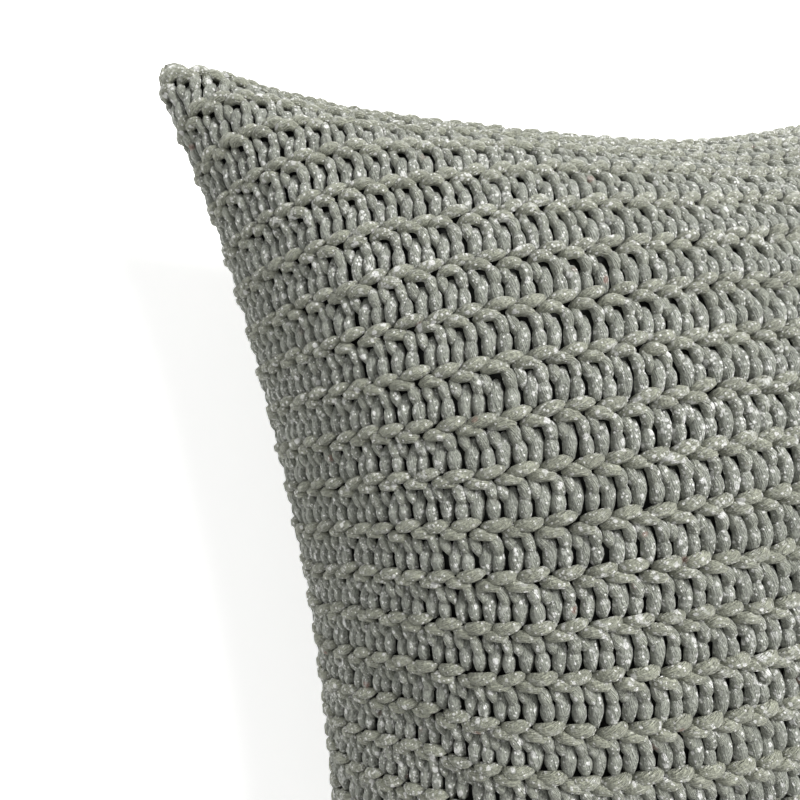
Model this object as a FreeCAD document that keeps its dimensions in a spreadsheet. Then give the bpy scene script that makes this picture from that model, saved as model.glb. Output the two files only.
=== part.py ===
import FreeCAD, Part
import math
import os
import Sketcher

# A square crocheted throw pillow, lying on its back: +Z up through the crown of its front,
# rows of stitches along X, the zip along the edge that faces -Y. The origin is on the
# surface that it lies on, under the middle. Millimetres.

MODEL_NAME = "throw_pillow"

# Driving dimensions, held in the document's spreadsheet.
DRIVING = [
    ("corner_half", 208.0, "half the side of the square that the edges start from"),
    ("ear_share", 0.075, "how far the corners stand out past that square, as a share"),
    ("crown", 96.0, "height of the front's crown above the seam plane"),
    ("side_pull", 0.07, "how far the left and right sides pull in, as a share"),
    ("end_pull", 0.12, "how far the top and bottom edges pull in, as a share"),
    ("pull_power", 1.3, "how the pull-in spreads along an edge"),
    ("pull_soft", 0.06, "how softly an edge turns at its middle"),
    ("zip_pull_power", 8.0, "the same along the edge that the zip keeps straight"),
    ("crown_power", 3.0, "fullness of the crown"),
    ("edge_power", 0.70, "how steeply the crown rises from the seam"),
    ("rest_power", 5.0, "how broadly the back flattens where it lies"),
    ("rest_trim", 1.0, "depth of the flat under the back"),
    ("knit_thick", 6.0, "thickness of the crocheted cover"),
    ("join_radius", 2.4, "radius of the crocheted joining round"),
    ("join_corner", 5.0, "radius at which that round turns the corners"),
    ("layer_gap", 0.3, "gap between one layer and the next"),
    ("lining_thick", 1.0, "thickness of the cover's lining"),
    ("case_thick", 1.0, "thickness of the insert's casing"),
    ("insert_short", 13.0, "how far the insert stops short of the lining all round"),
    ("flange_width", 3.0, "width of the insert's sewn edge"),
    ("flange_thick", 1.2, "thickness of the insert's sewn edge"),
    ("slot_half", 6.2, "half the width of the opening over the zip"),
    ("slot_reach", 158.0, "half the length of the opening over the zip"),
    ("zip_half", 150.0, "half the length of the zip's tapes"),
    ("zip_recess", 6.2, "how far the zip lies behind the cover's edge"),
    ("tape_thick", 0.6, "thickness of the zip's tapes"),
    ("tape_reach", 13.0, "how far each tape reaches from the middle of the zip"),
    ("tape_edge", 2.3, "distance of each tape's near edge from the middle of the zip"),
    ("tape_depth", 4.5, "how far the tape's far edge lies behind the zip"),
    ("tooth_pitch", 3.4, "distance from one tooth to the next on one side"),
    ("tooth_width", 1.5, "length of a tooth along the zip"),
    ("tooth_reach", 2.0, "how far a tooth reaches on each side of the middle"),
    ("tooth_thick", 1.6, "thickness of a tooth"),
    ("slider_length", 10.0, "length of the slider"),
    ("slider_half_width", 4.6, "half the width of the slider"),
    ("plate_thick", 1.0, "thickness of each of the slider's plates"),
    ("channel_half", 1.05, "half the gap between the slider's plates"),
    ("lip_gap_half", 0.55, "half the gap that the slider's lips leave for the tape"),
    ("bridge_height", 2.6, "height of the arch that holds the pull tab"),
    ("bridge_width", 2.0, "width of that arch"),
    ("bridge_length", 7.0, "length of that arch"),
    ("tab_length", 26.0, "length of the pull tab"),
    ("tab_width", 7.0, "width of the pull tab"),
    ("tab_thick", 1.2, "thickness of the pull tab"),
    ("label_width", 38.0, "width of the care label"),
    ("label_height", 16.0, "height of each leaf of the care label"),
    ("label_leaf", 0.3, "thickness of one leaf of the care label"),
    ("label_place", 50.0, "how far the care label stands from the middle of the zip"),
    ("slider_rest", 12.0, "how far the slider rests from the end of the zip's tapes"),
    ("tab_window", 5.4, "how far the pull tab's window reaches from its hinge"),
    ("tab_lift", 1.0, "how far the pull tab's hinge stands above the slider's plate"),
]


def make_sheet(doc):
    """Put the driving dimensions in a spreadsheet, one alias a row."""
    sheet = doc.addObject("Spreadsheet::Sheet", "sizes")
    for row, (alias, value, note) in enumerate(DRIVING, start=1):
        sheet.set("A%d" % row, alias)
        sheet.set("B%d" % row, str(value))
        sheet.set("C%d" % row, note)
        sheet.setAlias("B%d" % row, alias)
    doc.recompute()
    return sheet


doc = FreeCAD.newDocument(MODEL_NAME)
sheet = make_sheet(doc)


def size(alias):
    """A driving dimension, read back from the spreadsheet."""
    return float(getattr(sheet, alias))


CORNER = size("corner_half")
CROWN = size("crown")
KNIT = size("knit_thick")
GAP = size("layer_gap")
SLOT = size("slot_half")
FLAT_SHARE = 1.0 - 1.0 / size("rest_power")
SEAM_Z = CROWN * FLAT_SHARE - size("rest_trim")
JOIN_GAPS = 3.0  # layer gaps between the joining round and the covers it joins
JOIN_ROOM = 2.0 * size("join_radius") + JOIN_GAPS * GAP
RIM = CORNER - JOIN_ROOM
PATCH_STEPS = 18  # steps across a layer's curved surface
EDGE_STEPS = 12  # steps along half an edge of an outline
CORNER_STEPS = 4  # steps round a corner of an outline
sub_parts = []


def keep(feature, label, place=None):
    """Name a sub-part and give it its place."""
    feature.Label = label
    if place is not None:
        feature.Placement = place
    sub_parts.append(feature)
    return feature


# ---------------------------------------------------------------- the pillow's form

def eased(share):
    """A share from -1 to 1 raised to the pull power, rounded off at the middle."""
    power = size("pull_power") / 2.0
    soft = size("pull_soft")
    low = soft ** power
    return ((share * share + soft) ** power - low) / ((1.0 + soft) ** power - low)


def plan_point(s, t, half):
    """The plan position of the share (s, t) of a layer that starts at half."""
    straight = t * t if t < 0 else 0.0
    spread = (1.0 - straight) * eased(s) + straight * abs(s) ** size("zip_pull_power")
    ear = 1.0 + size("ear_share") * (s * s * t * t) ** 3
    x = half * s * (1.0 - size("side_pull") * (1.0 - eased(t))) * ear
    y = half * t * (1.0 - size("end_pull") * (1.0 - spread)) * ear
    return x, y


def rise(s, t):
    """The height at (s, t), as a share of the crown."""
    power = size("crown_power")
    edge = size("edge_power")
    across = max(1.0 - abs(s) ** power, 0.0) ** edge
    along = max(1.0 - abs(t) ** power, 0.0) ** edge
    return across * along


def flattened(share):
    """The back's height share: it levels out where the pillow lies on it."""
    power = size("rest_power")
    return share - share ** power / power


def layer_point(s, t, half, height, front):
    x, y = plan_point(s, t, half)
    share = rise(s, t)
    z = height * share if front else -height * flattened(share)
    return FreeCAD.Vector(x, y, z)


def patch(half, height, front):
    """One layer's curved surface, as a face that ends in the seam plane."""
    turn = [math.sin(math.pi / 2.0 * (2.0 * k / PATCH_STEPS - 1.0)) for k in range(PATCH_STEPS + 1)]
    turn[0] = -1.0
    turn[-1] = 1.0
    grid = [[layer_point(s, t, half, height, front) for t in turn] for s in turn]
    surface = Part.BSplineSurface()
    surface.interpolate(grid)
    return surface.toShape()


def rim_wire(face):
    return Part.Wire(Part.__sortEdges__(face.Edges))


def solid_of(faces):
    """The closed solid that the faces bound, each turned to point outwards."""
    shell = Part.Shell(faces)
    shell.sewShape()
    solid = Part.Solid(shell)
    solid.fix(1e-4, 1e-5, 1e-3)
    if solid.Volume < 0:
        solid.reverse()
    return solid


def half_shell(half, height, thick, front):
    """A closed shell of one layer's front or back half, its rim in the seam plane."""
    outer = patch(half, height, front)
    inner = patch(half - thick, height - thick, front)
    ring = Part.Face([rim_wire(outer), rim_wire(inner)])
    return solid_of([outer, inner, ring])


def half_bulb(half, height, front):
    """A closed solid of one half of a layer, with a lid in the seam plane."""
    outer = patch(half, height, front)
    return solid_of([outer, Part.Face(rim_wire(outer))])


def box(x0, x1, y0, y1, z0, z1):
    corner = FreeCAD.Vector(min(x0, x1), min(y0, y1), min(z0, z1))
    return Part.makeBox(abs(x1 - x0), abs(y1 - y0), abs(z1 - z0), corner)


def feature(name, shape):
    made = doc.addObject("Part::Feature", name)
    made.Shape = shape
    return made


UP = FreeCAD.Placement(FreeCAD.Vector(0, 0, SEAM_Z), FreeCAD.Rotation())


# ---------------------------------------------------------------- layers, from outside in

RIM_EDGE_Y = -RIM * (1.0 - size("end_pull"))
ZIP_Y = RIM_EDGE_Y + size("zip_recess")
LINING_HALF = RIM - KNIT - GAP
LINING_CROWN = CROWN - KNIT - GAP
LINING = size("lining_thick")
CASE = size("case_thick")
CASE_HALF = LINING_HALF - LINING - GAP - size("insert_short")
CASE_CROWN = LINING_CROWN - LINING - GAP
TAPE_REACH = size("tape_reach")


def slot_cutter(half_height, depth):
    """The room that a layer leaves for the zip along the edge that faces -Y."""
    reach = size("slot_reach")
    return box(-reach, reach, -1.2 * CORNER, ZIP_Y + depth, -half_height, half_height)


def cover(name, front):
    """The crocheted front or back, open over the zip; the back is flat where it lies."""
    shell = half_shell(RIM, CROWN, KNIT, front)
    shell = shell.cut(slot_cutter(SLOT, KNIT))
    if not front:
        wide = 2.0 * CORNER
        shell = shell.cut(box(-wide, wide, -wide, wide, -2.0 * CROWN, -SEAM_Z))
    return keep(feature(name, shell), name, UP)


def lining(name, front):
    """The cotton lining behind a cover, which stops at the zip's tape."""
    shell = half_shell(LINING_HALF, LINING_CROWN, LINING, front)
    shell = shell.cut(slot_cutter(TAPE_REACH + GAP, KNIT + size("tape_depth")))
    return keep(feature(name, shell), name, UP)


def insert_case(name, front):
    return keep(feature(name, half_shell(CASE_HALF, CASE_CROWN, CASE, front)), name, UP)


def fibre_fill():
    """The polyester filling, in the two halves that the casing's seam divides."""
    half = CASE_HALF - CASE - GAP
    height = CASE_CROWN - CASE - GAP
    filling = Part.makeCompound([half_bulb(half, height, True), half_bulb(half, height, False)])
    return keep(feature("fibre_fill", filling), "fibre_fill", UP)


def outline_points(half, corner_radius, end_share):
    """Points round a layer's outline, corners rounded, open over the zip."""
    turn = corner_radius / half
    places = [(end_share, -1.0)]
    for sx, sy in ((1, -1), (1, 1), (-1, 1), (-1, -1)):
        begin = math.atan2(sy, sx) - math.pi / 4.0
        for k in range(CORNER_STEPS + 1):
            angle = begin + math.pi / 2.0 * k / CORNER_STEPS
            places.append((sx * (1.0 - turn) + turn * math.cos(angle),
                           sy * (1.0 - turn) + turn * math.sin(angle)))
    places.append((-end_share, -1.0))
    points = []
    for (s0, t0), (s1, t1) in zip(places, places[1:]):
        steps = max(1, int(math.hypot(s1 - s0, t1 - t0) * EDGE_STEPS))
        for k in range(steps):
            share = k / steps
            x, y = plan_point(s0 + (s1 - s0) * share, t0 + (t1 - t0) * share, half)
            points.append(FreeCAD.Vector(x, y, 0))
    x, y = plan_point(places[-1][0], places[-1][1], half)
    return points + [FreeCAD.Vector(x, y, 0)]


def joining_round():
    """The crocheted round that joins front to back along every edge but the zip's."""
    radius = size("join_radius")
    half = CORNER - radius
    points = outline_points(half, size("join_corner"), size("slot_reach") / half + 0.01)
    ahead = points[1:] + [points[-1] * 2.0 - points[-2]]
    behind = [points[0] * 2.0 - points[1]] + points[:-1]
    rings = []
    for point, after, before in zip(points, ahead, behind):
        heading = math.degrees(math.atan2(after.y - before.y, after.x - before.x))
        ring = Part.Circle(FreeCAD.Vector(), FreeCAD.Vector(1, 0, 0), radius).toShape()
        ring.Placement = FreeCAD.Placement(point, FreeCAD.Rotation(FreeCAD.Vector(0, 0, 1), heading))
        rings.append(Part.Wire(ring))
    tube = Part.makeLoft(rings, True, True)
    return keep(feature("joining_round", tube), "joining_round", UP)


def outline_plate(half, thick):
    """A flat plate with a layer's outline, half above the seam plane and half below."""
    corners = [(-1, -1), (1, -1), (1, 1), (-1, 1)]
    edges = []
    for (s0, t0), (s1, t1) in zip(corners, corners[1:] + corners[:1]):
        points = []
        for k in range(EDGE_STEPS + 1):
            share = (1.0 - math.cos(math.pi * k / EDGE_STEPS)) / 2.0
            x, y = plan_point(s0 + (s1 - s0) * share, t0 + (t1 - t0) * share, half)
            points.append(FreeCAD.Vector(x, y, -thick / 2.0))
        side = Part.BSplineCurve()
        side.interpolate(points)
        edges.append(side.toShape())
    return Part.Face(Part.Wire(edges)).extrude(FreeCAD.Vector(0, 0, thick))


def insert_seam():
    """The flat sewn edge that stands out all round the insert."""
    thick = size("flange_thick")
    band = outline_plate(CASE_HALF + size("flange_width"), thick)
    band = band.cut(outline_plate(CASE_HALF + GAP, 2.0 * thick))
    return keep(feature("insert_seam", band), "insert_seam", UP)


cover("front_cover", True)
cover("back_cover", False)
joining_round()
lining("front_lining", True)
lining("back_lining", False)
insert_case("insert_case_front", True)
insert_case("insert_case_back", False)
insert_seam()
fibre_fill()


# ---------------------------------------------------------------- the zip

ZIP_HALF = size("zip_half")
SLIDER_LENGTH = size("slider_length")
SLIDER_X = ZIP_HALF - size("slider_rest")
TEETH_FIRST = -ZIP_HALF + 8.0  # leaves room for the bottom stop
TEETH_LAST = SLIDER_X
TAPE_EDGE = size("tape_edge")
HALF_TAPE = size("tape_thick") / 2.0
CHANNEL = size("channel_half")
PLATE = size("plate_thick")
PLATE_OUT = CHANNEL + PLATE
TAB_LIFT = PLATE_OUT + size("tab_lift")


def at_zip(x):
    """The place of a piece of the zip at x along it."""
    return FreeCAD.Placement(FreeCAD.Vector(x, ZIP_Y, SEAM_Z), FreeCAD.Rotation())


def strip(points, x0, x1):
    """A section in the YZ plane, drawn out along X."""
    corners = [FreeCAD.Vector(x0, y, z) for y, z in points]
    face = Part.Face(Part.makePolygon(corners + corners[:1]))
    return face.extrude(FreeCAD.Vector(x1 - x0, 0, 0))


def zip_tape(name, side):
    """A woven tape: flat beside the teeth, then leaning in behind the cover."""
    depth = size("tape_depth")
    bend = SLOT - 1.4
    near = SLOT - 0.1
    step = 1.3
    line = [(0.0, TAPE_EDGE), (0.0, bend), (step, near), (depth, TAPE_REACH)]
    outer = [(y - HALF_TAPE, side * z) for y, z in line]
    inner = [(y + HALF_TAPE, side * z) for y, z in reversed(line)]
    return keep(feature(name, strip(outer + inner, -ZIP_HALF, ZIP_HALF)), name, at_zip(0))


def zip_teeth(name, side, shift):
    """One side's moulded teeth, each a separate solid clasping the tape's edge."""
    pitch = size("tooth_pitch")
    half_width = size("tooth_width") / 2.0
    reach = size("tooth_reach")
    half_thick = size("tooth_thick") / 2.0
    count = int((TEETH_LAST - TEETH_FIRST) / pitch)
    teeth = []
    for k in range(count):
        x = TEETH_FIRST + shift + k * pitch
        teeth.append(box(x - half_width, x + half_width, -half_thick, half_thick,
                         -side * reach / 2.0, side * (reach + 0.2)))
    return keep(feature(name, Part.makeCompound(teeth)), name, at_zip(0))


def tape_stitching():
    """The two lines of thread that hold the tapes to the linings."""
    low = size("tape_depth") + 0.05
    end = ZIP_HALF - 2.0
    thread, inset = 0.5, 1.4
    lines = []
    for side in (1, -1):
        outer = side * (TAPE_REACH - inset)
        inner = side * (TAPE_REACH - inset - 0.6)
        lines.append(box(-end, end, low, low + thread, inner, outer))
    return keep(feature("zip_stitching", Part.makeCompound(lines)), "zip_stitching", at_zip(0))


def new_body(label):
    return doc.addObject("PartDesign::Body", label)


def origin_plane(body, role):
    return next(f for f in body.Origin.OriginFeatures if f.Role == role)


def sketch_on(body, role, name, loops):
    """A sketch of closed polygons on one of the body's own planes."""
    sketch = body.newObject("Sketcher::SketchObject", name)
    sketch.AttachmentSupport = (origin_plane(body, role), [""])
    sketch.MapMode = "FlatFace"
    for loop in loops:
        count = len(loop)
        first = sketch.GeometryCount
        for k in range(count):
            start = FreeCAD.Vector(loop[k][0], loop[k][1], 0)
            stop = FreeCAD.Vector(loop[(k + 1) % count][0], loop[(k + 1) % count][1], 0)
            sketch.addGeometry(Part.LineSegment(start, stop), False)
        for k in range(count):
            sketch.addConstraint(Sketcher.Constraint(
                "Coincident", first + k, 2, first + (k + 1) % count, 1))
    return sketch


def pad(body, sketch, name, length, middle):
    made = body.newObject("PartDesign::Pad", name)
    made.Profile = sketch
    if isinstance(length, str):
        made.setExpression("Length", length)
    else:
        made.Length = length
    made.Midplane = middle
    return made


def rectangle(x0, x1, y0, y1):
    return [(x0, y0), (x1, y0), (x1, y1), (x0, y1)]


def zip_slider():
    """The slider: two lipped plates round the chain, held apart by a post at the front."""
    body = new_body("zip_slider")
    wide = size("slider_half_width")
    lip = size("lip_gap_half")
    lip_in = wide - 0.8
    nose = 0.7
    half_length = SLIDER_LENGTH / 2.0
    post_start, post_end, post_half = 2.2, 3.8, 0.9
    post = sketch_on(body, "XZ_Plane", "post_outline",
                     [rectangle(post_start, post_end, -post_half, post_half)])
    pad(body, post, "post", "2 * (sizes.channel_half + sizes.plate_thick)", True)
    loops = []
    for side in (1, -1):
        loops.append([(side * CHANNEL, -lip_in), (side * lip, -lip_in), (side * lip, -wide),
                      (side * PLATE_OUT, -wide), (side * PLATE_OUT, wide), (side * lip, wide),
                      (side * lip, lip_in), (side * CHANNEL, lip_in)])
    plates = sketch_on(body, "YZ_Plane", "plate_sections", loops)
    pad(body, plates, "plates", "sizes.slider_length", True)
    doc.recompute()
    base = body.Tip
    ends = []
    for k, edge in enumerate(base.Shape.Edges, start=1):
        middle = edge.CenterOfMass
        upright = edge.BoundBox.YLength > 0.9 and edge.BoundBox.XLength < 0.01
        if upright and abs(abs(middle.x) - half_length) < 0.01 and abs(abs(middle.z) - wide) < 0.01:
            ends.append("Edge%d" % k)
    corners = body.newObject("PartDesign::Chamfer", "nose_and_tail")
    corners.Base = (base, ends)
    corners.Size = nose
    return keep(body, "zip_slider", at_zip(SLIDER_X))


def slider_bridge():
    """The arch on the slider's face that the pull tab hangs from."""
    body = new_body("slider_bridge")
    half = size("bridge_length") / 2.0
    top = PLATE_OUT + size("bridge_height")
    wall = 0.75
    cut = 0.6
    arch = [(-half, -PLATE_OUT), (-half, -top + cut), (-half + cut, -top), (half - cut, -top),
            (half, -top + cut), (half, -PLATE_OUT), (half - wall, -PLATE_OUT),
            (half - wall, -top + wall), (-half + wall, -top + wall), (-half + wall, -PLATE_OUT)]
    outline = sketch_on(body, "XY_Plane", "arch_outline", [arch])
    pad(body, outline, "arch", "sizes.bridge_width", True)
    return keep(body, "slider_bridge", at_zip(SLIDER_X))


def pull_tab():
    """The pull tab: a flat tongue whose window goes round the arch."""
    body = new_body("pull_tab")
    long_side = size("tab_length")
    wide = size("tab_width") / 2.0
    thick = size("tab_thick")
    reach = size("tab_window")
    window = 1.5
    rail = 2.9
    cut = 1.2
    shoulder = reach + 0.1
    crossbar = thick / 2.0
    crossbar_back = crossbar - 0.2
    tongue = [(-long_side, -wide + cut), (-long_side + cut, -wide), (-shoulder - 2.0, -wide),
              (-shoulder, -rail), (crossbar, -rail), (crossbar, rail), (-shoulder, rail),
              (-shoulder - 2.0, wide), (-long_side + cut, wide), (-long_side, wide - cut)]
    hole = rectangle(-reach, -crossbar_back, -window, window)
    outline = sketch_on(body, "XZ_Plane", "tongue_outline", [tongue, hole])
    pad(body, outline, "tongue", "sizes.tab_thick", True)
    doc.recompute()
    base = body.Tip
    edges = []
    for k, edge in enumerate(base.Shape.Edges, start=1):
        middle = edge.CenterOfMass
        if abs(middle.x - crossbar) < 0.01 and edge.BoundBox.ZLength > 5.0:
            edges.append("Edge%d" % k)
    rounded = body.newObject("PartDesign::Fillet", "rounded_crossbar")
    rounded.Base = (base, edges)
    rounded.Radius = crossbar - 0.02
    place = FreeCAD.Placement(FreeCAD.Vector(SLIDER_X, ZIP_Y - TAB_LIFT, SEAM_Z), FreeCAD.Rotation())
    return keep(body, "pull_tab", place)


CLAMP_GAP = HALF_TAPE + 0.02
CLAMP_REACH = 3.6


def top_stops():
    """Two clamps, one on each tape, that stop the slider when the zip is closed."""
    half_thick, near, throat, half_length = 1.0, 1.1, 2.2, 1.5
    section = [(-half_thick, near), (-half_thick, CLAMP_REACH), (-CLAMP_GAP, CLAMP_REACH),
               (-CLAMP_GAP, throat), (CLAMP_GAP, throat), (CLAMP_GAP, CLAMP_REACH),
               (half_thick, CLAMP_REACH), (half_thick, near)]
    stops = []
    for side in (1, -1):
        stops.append(strip([(y, side * z) for y, z in section], -half_length, half_length))
    place = at_zip(SLIDER_X + SLIDER_LENGTH / 2.0 + 2.2)
    return keep(feature("zip_top_stops", Part.makeCompound(stops)), "zip_top_stops", place)


def bottom_stop():
    """The clamp across both tapes at the zip's far end."""
    body = new_body("zip_bottom_stop")
    half_thick, throat = 1.1, 2.1
    section = [(-half_thick, -CLAMP_REACH), (-CLAMP_GAP, -CLAMP_REACH), (-CLAMP_GAP, -throat),
               (CLAMP_GAP, -throat), (CLAMP_GAP, -CLAMP_REACH), (half_thick, -CLAMP_REACH),
               (half_thick, CLAMP_REACH), (CLAMP_GAP, CLAMP_REACH), (CLAMP_GAP, throat),
               (-CLAMP_GAP, throat), (-CLAMP_GAP, CLAMP_REACH), (-half_thick, CLAMP_REACH)]
    outline = sketch_on(body, "YZ_Plane", "stop_section", [section])
    pad(body, outline, "stop", 3.0, True)
    return keep(body, "zip_bottom_stop", at_zip(TEETH_FIRST - 3.5))


def care_label():
    """A blank folded label, sewn in beside the zip behind the front lining."""
    leaf = size("label_leaf")
    fold = doc.addObject("Part::Box", "label_leaves")
    fold.setExpression("Length", "sizes.label_width")
    fold.setExpression("Width", "2 * sizes.label_leaf")
    fold.setExpression("Height", "sizes.label_height")
    y = ZIP_Y + size("zip_recess") + 1.9
    corner = FreeCAD.Vector(size("label_place"), y - leaf, SEAM_Z + 2.0)
    place = FreeCAD.Placement(corner, FreeCAD.Rotation())
    return keep(fold, "care_label", place)


zip_tape("zip_tape_front", 1)
zip_tape("zip_tape_back", -1)
zip_teeth("zip_teeth_front", 1, 0.0)
zip_teeth("zip_teeth_back", -1, size("tooth_pitch") / 2.0)
tape_stitching()
zip_slider()
slider_bridge()
pull_tab()
top_stops()
bottom_stop()
care_label()


# ---------------------------------------------------------------- checks and files

def check_and_export():
    """Stop on any failed object or bad shape, then write one file for each sub-part."""
    doc.recompute()
    for obj in doc.Objects:
        if "Invalid" in obj.State or "Error" in obj.State:
            raise RuntimeError("%s failed: %s" % (obj.Label, obj.State))
    for part in sub_parts:
        shape = part.Shape
        if shape.isNull() or not shape.isValid() or shape.Volume <= 0:
            raise RuntimeError("%s has no good shape" % part.Label)
    os.makedirs("parts", exist_ok=True)
    for part in sub_parts:
        part.Shape.exportStep("parts/%s.step" % part.Label)
        low = part.Shape.BoundBox
        print("%-20s %9.1f mm3  x %.1f..%.1f  y %.1f..%.1f  z %.1f..%.1f" % (
            part.Label, part.Shape.Volume, low.XMin, low.XMax, low.YMin, low.YMax, low.ZMin, low.ZMax))


check_and_export()
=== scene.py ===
import math
import bpy
import numpy as np
from mathutils import Euler, Matrix, Vector


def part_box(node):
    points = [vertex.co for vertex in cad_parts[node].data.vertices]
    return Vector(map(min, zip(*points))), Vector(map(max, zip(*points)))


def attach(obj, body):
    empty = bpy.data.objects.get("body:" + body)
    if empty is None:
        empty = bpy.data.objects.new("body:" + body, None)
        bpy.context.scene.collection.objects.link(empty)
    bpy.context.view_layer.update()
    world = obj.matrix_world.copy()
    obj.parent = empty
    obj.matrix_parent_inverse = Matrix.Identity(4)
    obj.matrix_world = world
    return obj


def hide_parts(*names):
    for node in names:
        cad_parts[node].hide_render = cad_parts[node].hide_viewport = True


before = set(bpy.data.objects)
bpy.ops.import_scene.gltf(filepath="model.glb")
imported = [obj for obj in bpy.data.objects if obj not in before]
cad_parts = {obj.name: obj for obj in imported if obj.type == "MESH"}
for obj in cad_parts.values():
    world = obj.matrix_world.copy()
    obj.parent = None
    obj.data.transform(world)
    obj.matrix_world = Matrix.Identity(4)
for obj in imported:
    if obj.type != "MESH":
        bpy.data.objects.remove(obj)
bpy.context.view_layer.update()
MM = 0.001

# ---------------------------------------------------------------- the pillow's form

# The shape is the one that the CAD layers have: a square drawn in along its edges and out at
# its corners, under a crown. s and t are shares of its width and height, from -1 to 1.
EAR = 0.075
EAR_POWER = 3
BLUNT = 0.030
BLUNT_POWER = 9
ROLL = 4 * MM
ROLL_POWER = 40
SIDE_PULL = 0.07
END_PULL = 0.12
PULL_POWER = 0.65
PULL_SOFT = 0.06
ZIP_PULL_POWER = 8
CROWN_POWER = 3.0
EDGE_POWER = 0.70
REST_POWER = 5
KNIT = 6.3 * MM
ZIP_REACH = 158 * MM
TAPE_REACH = 13.3 * MM

seam_low, seam_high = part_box("insert_seam")
SEAM = (seam_low.z + seam_high.z) / 2
cover_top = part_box("front_cover")[1]
COVER_HALF = 208 * MM
PATH_PROUD = 1.5 * MM
LINING_GAP = 0.8 * MM
LINING_DROP = 0.6 * MM
PATH_HALF = COVER_HALF - KNIT + PATH_PROUD
PATH_CROWN = cover_top.z - SEAM - KNIT
LINING_HALF = PATH_HALF - LINING_GAP
LINING_CROWN = PATH_CROWN - LINING_DROP
CASE_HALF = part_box("insert_case_front")[1].x / (1 + EAR)
CASE_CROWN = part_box("insert_case_front")[1].z - SEAM
FILL_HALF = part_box("fibre_fill")[1].x / (1 + EAR)
FILL_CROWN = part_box("fibre_fill")[1].z - SEAM


def eased(share):
    """A share from -1 to 1 raised to the pull power, rounded off at the middle."""
    low = PULL_SOFT ** PULL_POWER
    return ((share * share + PULL_SOFT) ** PULL_POWER - low) / ((1 + PULL_SOFT) ** PULL_POWER - low)


def form(s, t, half, crown, front):
    """Points of one face of a layer, from shares of its width and height."""
    straight = np.where(t < 0, t * t, 0.0)
    spread = (1 - straight) * eased(s) + straight * np.abs(s) ** ZIP_PULL_POWER
    corner = s * s * t * t
    ear = 1 + EAR * corner ** EAR_POWER - BLUNT * corner ** BLUNT_POWER
    x = half * s * (1 - SIDE_PULL * (1 - eased(t))) * ear
    y = half * t * (1 - END_PULL * (1 - spread)) * ear
    lift = (np.maximum(1 - np.abs(s) ** CROWN_POWER, 0) ** EDGE_POWER
            * np.maximum(1 - np.abs(t) ** CROWN_POWER, 0) ** EDGE_POWER)
    roll = ROLL * np.sqrt(np.maximum(1 - s ** ROLL_POWER, 0) * np.maximum(1 - t ** ROLL_POWER, 0))
    if front:
        z = (crown - ROLL) * lift + roll
    else:
        z = -(crown - ROLL) * (lift - lift ** REST_POWER / REST_POWER) - roll
    return np.stack([x, y, z + SEAM], -1)


SAMPLES = 801


def spaced(steps, across):
    """Shares from -1 to 1 that are evenly spaced over the crown, across it or up it."""
    fine = np.sin(np.linspace(-math.pi / 2, math.pi / 2, SAMPLES))
    flat = np.zeros_like(fine)
    s, t = (fine, flat) if across else (flat, fine)
    line = form(s, t, PATH_HALF, PATH_CROWN, True)
    length = np.concatenate([[0], np.cumsum(np.linalg.norm(np.diff(line, axis=0), axis=1))])
    return np.interp(np.linspace(0, length[-1], steps + 1), length, fine)


STEPS = 72
ACROSS, UP = np.meshgrid(spaced(STEPS, True), spaced(STEPS, False), indexing="ij")


def arc_shares(points, axis):
    """How far along its line each point of a grid is, from 0 to 1."""
    run = np.cumsum(np.linalg.norm(np.diff(points, axis=axis), axis=2), axis=axis)
    first = np.zeros_like(run[:1] if axis == 0 else run[:, :1])
    run = np.concatenate([first, run], axis)
    return run / (run[-1:] if axis == 0 else run[:, -1:])


def new_object(name, verts, faces):
    mesh = bpy.data.meshes.new(name)
    mesh.from_pydata([tuple(v) for v in verts], [], [tuple(f) for f in faces])
    mesh.validate()
    mesh.update()
    mesh.shade_smooth()
    made = bpy.data.objects.new(name, mesh)
    bpy.context.scene.collection.objects.link(made)
    return made


def grid_index(start):
    return np.arange(start, start + (STEPS + 1) ** 2).reshape(STEPS + 1, STEPS + 1)


def grid_faces(index, flip):
    a, b, c, d = index[:-1, :-1], index[1:, :-1], index[1:, 1:], index[:-1, 1:]
    order = (a, d, c, b) if flip else (a, b, c, d)
    return np.stack(order, -1).reshape(-1, 4)


FRONT_INDEX = grid_index(0)
RIM = np.zeros((STEPS + 1, STEPS + 1), bool)
RIM[0] = RIM[-1] = RIM[:, 0] = RIM[:, -1] = True
BACK_INDEX = FRONT_INDEX.copy()
BACK_INDEX[~RIM] = np.arange(FRONT_INDEX.size, FRONT_INDEX.size + (~RIM).sum())
SHELL_FACES = np.concatenate([grid_faces(FRONT_INDEX, False), grid_faces(BACK_INDEX, True)])


def shell_points(front, back):
    return np.concatenate([front.reshape(-1, 3), back[~RIM]])


def read_points(obj):
    flat = np.empty(len(obj.data.vertices) * 3)
    obj.data.vertices.foreach_get("co", flat)
    return flat.reshape(-1, 3)


def layer(half, crown):
    return (form(ACROSS, UP, half, crown, True), form(ACROSS, UP, half, crown, False))


# ---------------------------------------------------------------- the filling swells

SWELL_CAP = 5 * MM
ZIP_HOLD = 40 * MM
SWELL_STEPS = 20
START_SIZE = 0.985


def near_zip(points):
    """1 where the zip is sewn in, falling to 0 away from it."""
    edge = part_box("zip_tape_front")[0].y
    up = np.clip((points[:, 1] - edge) / ZIP_HOLD, 0, 1)
    return 1 - up * up * (3 - 2 * up)


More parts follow.
